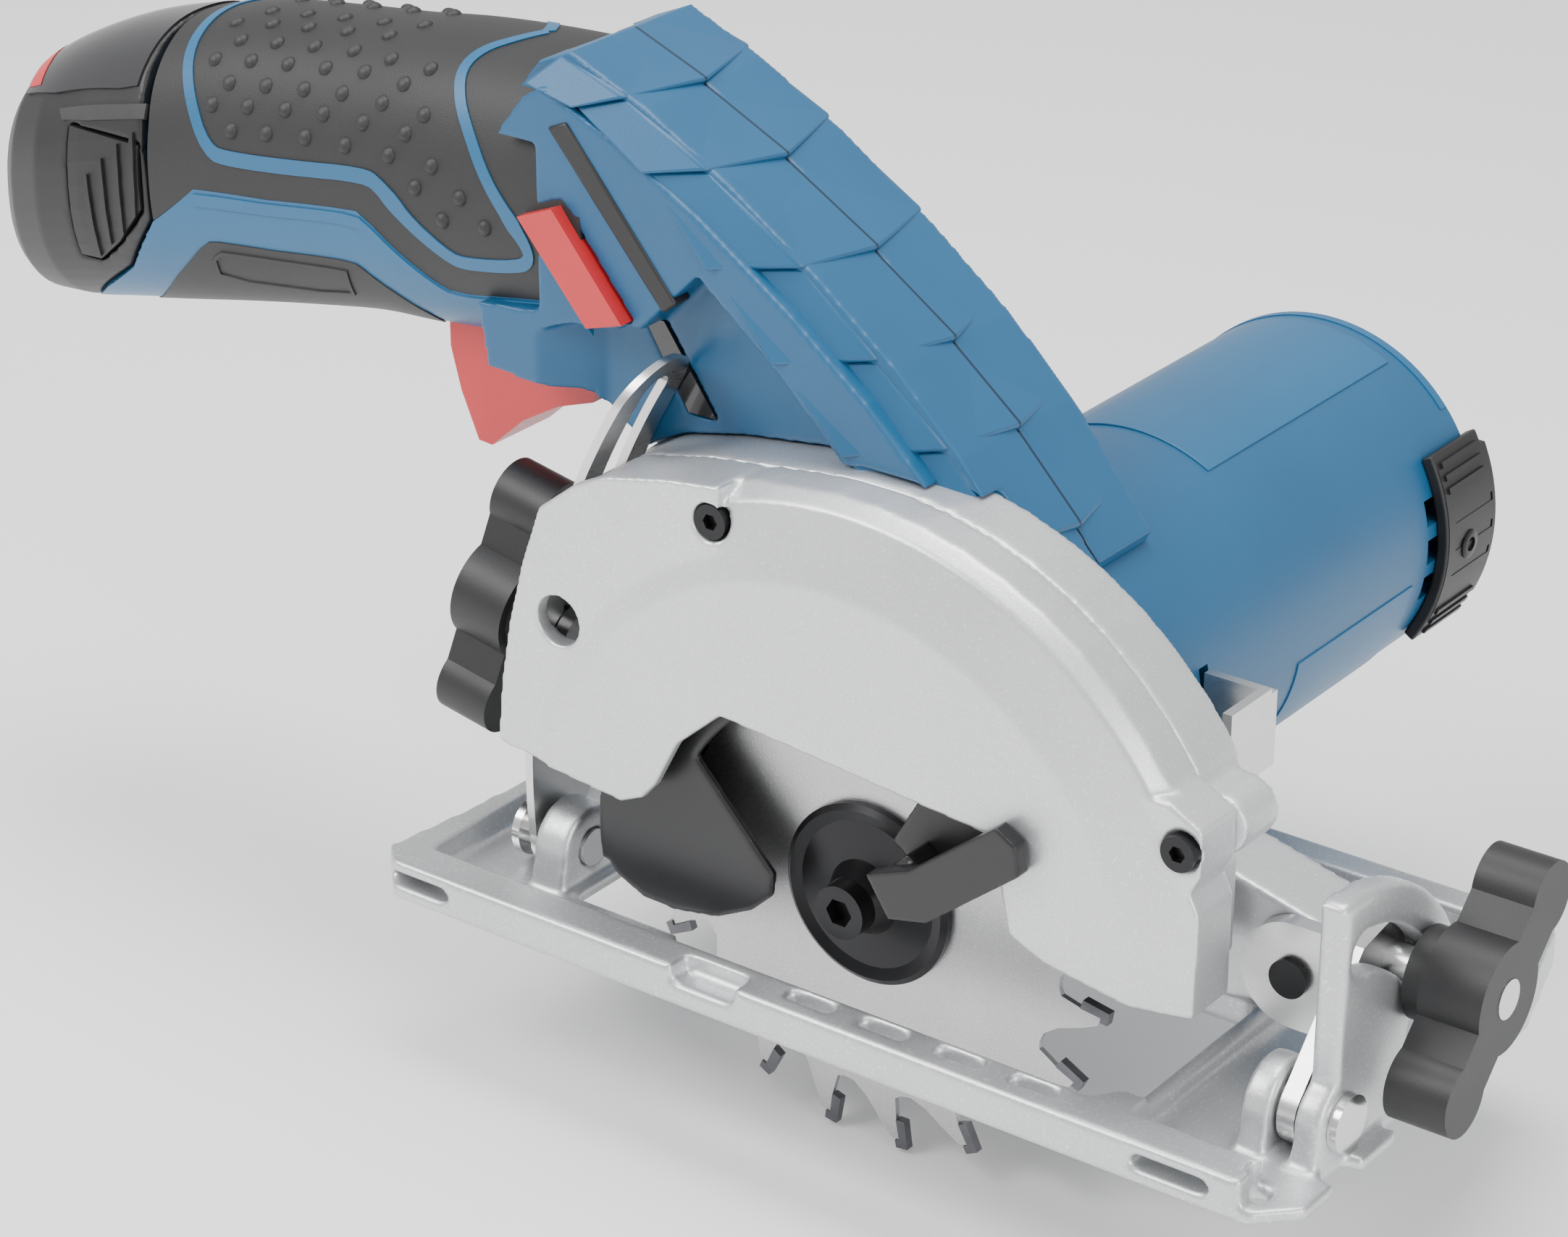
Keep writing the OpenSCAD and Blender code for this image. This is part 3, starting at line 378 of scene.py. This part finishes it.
JOINT = [(-146, 90), (-144.5, 60), (-142.8, 20), (-142.5, -12), (-150, -35), (-160, -52), (-166, -66),
    (-172, -90)]
SKIN_LOW = [(-142.2, -12), (-133, -1.5), (-118, -3.5), (-99.5, -4), (-96.5, -8), (-85.5, -28), (-83, -31.5),
    (-79, -32),
            (-62, -27), (-57, -26)]
SKIN_FRONT = [(-55, -6), (-55.5, 10), (-59, 30), (-62.5, 50), (-62.8, 72), (-62.5, 90)]
PANEL_LINE = [(-140.5, 90), (-139.5, 70), (-138, 50), (-134.5, 30), (-129.8, 9.5), (-125, 7.2), (-112, 6),
    (-97.5, 6.5),
              (-94.5, 4), (-81.5, -15), (-78, -16.8), (-67.5, -14), (-65, -10), (-66, -4), (-70, 3), (-73.5,
              12), (-77.5, 27),
              (-81, 40), (-83.3, 55), (-82, 68), (-78.5, 79), (-76, 90)]
LOWER_PANEL = [(-131, -20.5), (-118, -23.5), (-104, -25), (-101, -26), (-94.5, -41), (-91, -53), (-90.3,
    -62), (-92, -71), (-97, -80),
               (-104, -90), (-160, -90), (-157, -80), (-152, -68), (-147, -55), (-141, -40), (-134, -25)]


def moved(path, dx):
    return [(x + dx, t) for x, t in path]


def both_sides(bm, outline, off, depth, **steps):
    grip_patch(bm, outline, off, depth, **steps)
    grip_patch(bm, mirrored(outline), off, depth, **steps)


# soft black grip over the top, in two halves that meet on the seam
skin = [(-145.6, 90)] + moved(JOINT[1:4], 0.5) + SKIN_LOW[1:] + SKIN_FRONT
for side, cut in (("near", lambda o: o), ("far", mirrored)):
    bm = bmesh.new()
    grip_patch(bm, cut(skin), 0.0, 1.4, 1.6, 4.0)
    add_object("grip_cover_" + side, bm, GRIP, "saw_body", ("grip_skin_" + side,), 50)

# blue line round the grip panel
bm = bmesh.new()
both_sides(bm, band(rounded(PANEL_LINE, 3, 0.25), 1.9), 0.22, 1.0, step=1.5, turn_step=3.0)
add_object("grip_panel_line", bm, BLUE_TRIM, "saw_body", shade=40)

# blue band below the grip, the raised step along its upper edge and the black panel under it
lower = [(-142.1, -12.4)] + SKIN_LOW[1:] + [(-57, -60), (-62, -90)] + [(-171.6, -90), (-165.6, -66),
    (-159.6, -52), (-149.6, -35)]
bm = bmesh.new()
both_sides(bm, lower, 0.08, 1.2, step=2.0, turn_step=5.0)
add_object("grip_blue_band", bm, BLUE_TRIM, "saw_body", shade=50)
bm = bmesh.new()
both_sides(bm, band([(x, t - 3.2) for x, t in rounded(SKIN_LOW[1:], 2, 0.15)], 1.5), 0.35, 0.8, step=1.6,
    turn_step=3.0)
add_object("grip_band_step", bm, BLUE_TRIM, "saw_body", shade=50)
bm = bmesh.new()
both_sides(bm, rounded(LOWER_PANEL, 2, 0.12, True), 0.3, 0.9, step=2.0, turn_step=4.0)
add_object("grip_lower_panel", bm, GRIP, "saw_body", shade=50)
# plain raised frame on the lower panel
FRAME = [(-131, -29), (-131.5, -38), (-126, -43.5), (-112, -47.5), (-105, -46), (-104, -31), (-118, -28.5),
    (-129, -26)]
bm = bmesh.new()
both_sides(bm, band(FRAME + FRAME[:1], 0.7), 0.55, 0.5, step=2.0, turn_step=4.0)
add_object("grip_panel_frame", bm, GRIP, "saw_body", shade=50)

# round dots of the grip panel
DOTS = [(71, (-133, -125.5, -118, -110, -101.5)), (59, (-129, -121.5, -113.8, -105.7)), (56, (-97.5,)), (53,
    (-89,)),
        (48, (-132, -124.6, -117, -109.3, -101.4)), (44, (-92.7,)), (37, (-127.3, -119.8, -112, -104.2)),
        (34.5, (-95.7,)),
        (32, (-87,)), (27.5, (-129.8, -122.5, -114.8, -107)), (25.5, (-98.8,)), (23.5, (-90,)), (17.5,
        (-125.2, -118, -110)),
        (16, (-101.8,)), (14.5, (-92.8,)), (13, (-84.2,)), (5, (-87.3,)), (4, (-78.5,)), (-2.5, (-82,
        -73.7)),
        (82, (-129, -121.5, -113.8, -105.7, -97.5))]
bm = bmesh.new()
for turn, places in DOTS:
    for x in places:
        for t in (turn, 180 - turn):
            c = grip_point(x, t)
            n = (grip_point(x, t, 1.0) - c).normalized()
            lathe(bm, [(-0.6, 1.35), (0.12, 1.25), (0.5, 0.95), (0.72, 0.5), (0.78, 0)], c, n, 16)
add_object("grip_dots", bm, GRIP, "saw_body", shade=60)

# battery: the label panel on top, its red stripe, the slots as dark patches of painted shade and the ribs
bm = bmesh.new()
label = [(-146.8, 90), (-146.3, 36.5), (-150, 35.7), (-165, 38), (-174.5, 43.5), (-176, 60), (-178.5, 75),
    (-181.5, 90)]
both_sides(bm, label, 0.3, 1.0, step=1.5, turn_step=4.0)
add_object("battery_label_panel", bm, BLACK_GLOSS, "battery", shade=50)
bm = bmesh.new()
stripe = [(-170.3, 45), (-174, 46.5), (-175.7, 62), (-178, 75), (-180.8, 90), (-176.8, 90), (-174.2, 76),
    (-172.2, 62)]
both_sides(bm, stripe, 0.42, 0.8, step=1.5, turn_step=4.0)
add_object("battery_stripe", bm, RED, "battery", shade=50)
# the slot is not cut in: a flat dark patch on the surface is painted shade standing in for the shadowed
# recess
bm = bmesh.new()
both_sides(bm, [(-163, 29.8), (-143.4, 28.4), (-143.4, 22.2), (-156, 22.8), (-161.8, 24.5)], 0.12, 0.8,
    step=2.0, turn_step=3.0)
add_object("battery_slot_painted_shade", bm, CARBON, "battery", shade=50)
for side, turner, ribs_on in (("near", lambda o: o, "battery_latch_near"), ("far", mirrored,
    "battery_latch_far")):
    bm = bmesh.new()
    for x, t0, t1 in ((-155.5, -28, 3), (-152.2, -22, 8), (-148.8, -17, 13), (-145.5, -10, 17)):
        grip_patch(bm, turner(rounded([(x - 0.65, t0), (x + 0.65, t0), (x + 0.65, t1), (x - 0.65, t1)], 2,
            0.3, True)), 0.45, 1.0, 1.0, 3.0)
    add_object("latch_ribs_" + side, bm, BLACK, ribs_on, shade=50)

# ---------------------------------------------------------------- the stepped ridge of the housing
# Each step line crosses the ridge: its point on the crest, on the top corner and low on the side, as (x, z)
STEPS = [
    ((-59.4, 132.1), (-61.5, 131.0), (-66.0, 126.5)), ((-46.4, 125.7), (-49.5, 126.6), (-56.0, 125.0)),
    ((-31.5, 117.3), (-34.6, 118.7), (-43.3, 117.7)), ((-15.5, 106.6), (-17.8, 107.7), (-31.7, 105.6)),
    ((-1.6, 95.9), (-4.8, 96.7), (-19.8, 93.9)), ((9.8, 85.2), (7.4, 86.1), (-7.5, 82.7)), ((20.5, 72.5),
    (18.0, 73.5), (5.0, 70.5)),
]
CORNER_HALF, SIDE_HALF = 14.5, 18.6
LIP, SUNK, SHELL = 0.9, 0.25, 2.2


def step_line(step, lift):
    """The five points of a step line from the near side to the far side, lifted off the surface."""
    crest, corner, side = step
    out = []
    for (x, z), half, lean in ((side, SIDE_HALF, 1.0), (corner, CORNER_HALF, 0.6), (crest, 0.0, 0.0),
        (corner, -CORNER_HALF, -0.6),
                               (side, -SIDE_HALF, -1.0)):
        up = 1 - abs(lean)
        out.append(Vector((x + 0.6 * up * lift, SEAM_Y - half - lean * lift, z + 0.8 * up * lift)))
    return out


def shingle(bm, above, below):
    """One step of the ridge, from the step line above it to its own raised lip."""
    lines = [step_line(above, -SUNK), step_line(below, LIP), step_line(below, -SHELL), step_line(above,
        -SUNK - SHELL)]
    rows = [[bm.verts.new(p * MM) for p in line] for line in lines]
    for a, b in zip(rows, rows[1:] + rows[:1]):
        for k in range(4):
            bm.faces.new((a[k], a[k + 1], b[k + 1], b[k]))
    for k in (0, 4):
        bm.faces.new([row[k] for row in rows])


for number, (above, below) in enumerate(zip(STEPS, STEPS[1:])):
    bm = bmesh.new()
    shingle(bm, above, below)
    bevel(add_object("ridge_step_" + str(number + 1), bm, BLUE, "saw_body", shade=30), 0.5,
        2, 25)

# black inset between the lock-off button and the ridge
bm = bmesh.new()
prism(bm, [(-61.0, 121.0), (-57.5, 122.5), (-37.5, 99.0), (-40.0, 97.0)], "y", 2.1, 6.0)
bevel(add_object("side_inset", bm, BLACK, "saw_body"), 0.4)

# ---------------------------------------------------------------- motor housing details
AXIS_X, AXIS_Z, BARREL = 6.0, 42.94, 28.5


def barrel_patch(bm, y0, y1, a0, a1, off, depth, steps=24):
    """A curved panel on the motor housing from turn a0 to a1; 0 points forward, 90 up."""
    def ring(y, r):
        return [bm.verts.new(Vector((AXIS_X + r * math.cos(t), y, AXIS_Z + r * math.sin(t))) * MM)
                for t in (math.radians(a0 + (a1 - a0) * k / steps) for k in range(steps + 1))]
    rows = [ring(y0, BARREL + off), ring(y1, BARREL + off), ring(y1, BARREL + off - depth), ring(y0,
        BARREL + off - depth)]
    for a, b in zip(rows, rows[1:] + rows[:1]):
        for k in range(steps):
            bm.faces.new((a[k], a[k + 1], b[k + 1], b[k]))
    for k in (0, steps):
        bm.faces.new([row[k] for row in rows])


for name, y0, y1, a0, a1, off, look, slot_name in (
        ("motor_label_panel", 62, 97, -52, -8, 0.25, BLUE_TRIM, "blue_plastic"),
        ("motor_top_panel", 58, 112, 62, 112, 0.3, BLUE_TRIM, "blue_plastic"),
        ("motor_bumper_pad", 103.5, 118, -34, 30, 2.1, BLACK, "black_plastic")):
    bm = bmesh.new()
    barrel_patch(bm, y0, y1, a0, a1, off, 2.0)
    bevel(add_object(name, bm, look, "saw_body"), 0.4 if off > 1 else 0.15, 3)
bm = bmesh.new()
for turn in (-30, -26, -22, 18, 22, 26):
    barrel_patch(bm, 105, 116.5, turn - 0.9, turn + 0.9, 2.6, 1.0, 4)
add_object("motor_bumper_ribs", bm, BLACK, "saw_body")
bm = bmesh.new()
lathe(bm, [(-1.5, 2.4), (0.3, 2.4), (0.5, 2.1), (0.5, 1.2), (-0.4, 1.1), (-0.4, 0)], (AXIS_X + BARREL + 2.1,
    110.5, AXIS_Z - 1), (1, 0, 0), 24)
add_object("motor_bumper_screw", bm, BLACKSTEEL, "saw_body")
# pale ring round the far rim
bm = bmesh.new()
for a0 in (40, 100, 160):
    barrel_patch(bm, 114.6, 116.2, a0, a0 + 60, 0.18, 0.8)
add_object("motor_rim", bm, BLUE_TRIM, "saw_body")

# ---------------------------------------------------------------- looks of the CAD nodes
for node in frame["record"]["subparts"]:
    paint(NODES[node["node"]], SLOT_LOOKS[node["material_slot"]])
    smooth(NODES[node["node"]], 30)
paint(NODES["base_plate"], CAST_BASE)
for name, voxel in (("upper_guard_cover", 0.42), ("gear_case", 0.6), ("base_plate", 0.72), ("lower_guard",
    0.42), ("housing_near", 0.5),
                    ("housing_far", 0.5), ("guard_lever", 0.3), ("battery_case", 0.5)):
    cast(NODES[name], voxel)
for name, width in (("bevel_bracket", 0.4), ("depth_strip", 0.3), ("bevel_clamp_stud", 0.4),
    ("depth_pivot_pin", 0.4), ("front_bevel_rivet", 0.5),
                    ("rear_bevel_pin", 0.5), ("bevel_wing_knob", 1.1), ("depth_wing_knob", 1.1),
                    ("guard_screws", 0.2), ("outer_flange", 0.3),
                    ("blade_screw", 0.3), ("inner_flange", 0.2), ("spindle_lock_tab", 0.4),
                    ("motor_housing", 0.8), ("end_bumper", 0.6),
                    ("trigger", 1.2), ("lock_off_button", 1.0), ("charge_display", 0.3),
                    ("depth_clamp_bolt", 0.3), ("saw_blade", 0.08)):
    bevel(NODES[name], width, 3)

# ---------------------------------------------------------------- stage
LOWEST = -0.0268
floor_mesh = bpy.data.meshes.new("floor")
floor_mesh.from_pydata([(-6, -6, LOWEST), (6, -6, LOWEST), (6, 6, LOWEST), (-6, 6, LOWEST)], [], [(0, 1, 2,
    3)])
floor = bpy.data.objects.new("floor", floor_mesh)
bpy.context.scene.collection.objects.link(floor)
paint(floor, surface("floor_paint", (0.93, 0.93, 0.93), (0.90, 0.90, 0.90), (0.6, 0.7), 0.0, 2, 200, 0.0))

world = bpy.data.worlds.new("studio")
bpy.context.scene.world = world
world.use_nodes = True
world.node_tree.nodes["Background"].inputs["Color"].default_value = (1.0, 1.0, 1.0, 1)
world.node_tree.nodes["Background"].inputs["Strength"].default_value = 0.85


def area(name, place, target, size, power):
    data = bpy.data.lights.new(name, "AREA")
    data.shape = "RECTANGLE"
    data.size, data.size_y = size
    data.energy = power
    obj = bpy.data.objects.new(name, data)
    bpy.context.scene.collection.objects.link(obj)
    obj.location = place
    obj.rotation_mode = "QUATERNION"
    obj.rotation_quaternion = (Vector(target) - Vector(place)).to_track_quat("-Z", "Y")
    return obj


lights = [
    area("key", (-0.5, -0.55, 0.75), (-0.03, 0.02, 0.05), (0.5, 0.5), 9.0),
    area("top", (0.0, 0.1, 0.9), (0.0, 0.02, 0.05), (0.6, 0.4), 7.0),
    area("right", (0.8, -0.25, 0.35), (0.0, 0.02, 0.04), (0.3, 0.6), 4.0),
]

TARGET = Vector((-16.39, 0, 55.70)) * MM
AZIMUTH, ELEVATION, DISTANCE = math.radians(36.767), math.radians(25.405), 634.43 * MM
back = Vector((math.sin(AZIMUTH) * math.cos(ELEVATION), -math.cos(AZIMUTH) * math.cos(ELEVATION),
    math.sin(ELEVATION)))
camera_data = bpy.data.cameras.new("camera")
camera_data.sensor_width = 36
camera_data.lens = 100.09
camera_data.clip_start = 0.05
camera = bpy.data.objects.new("camera", camera_data)
bpy.context.scene.collection.objects.link(camera)
camera.location = TARGET + back * DISTANCE
camera.rotation_mode = "QUATERNION"
camera.rotation_quaternion = (-back).to_track_quat("-Z", "Y")
bpy.context.scene.camera = camera
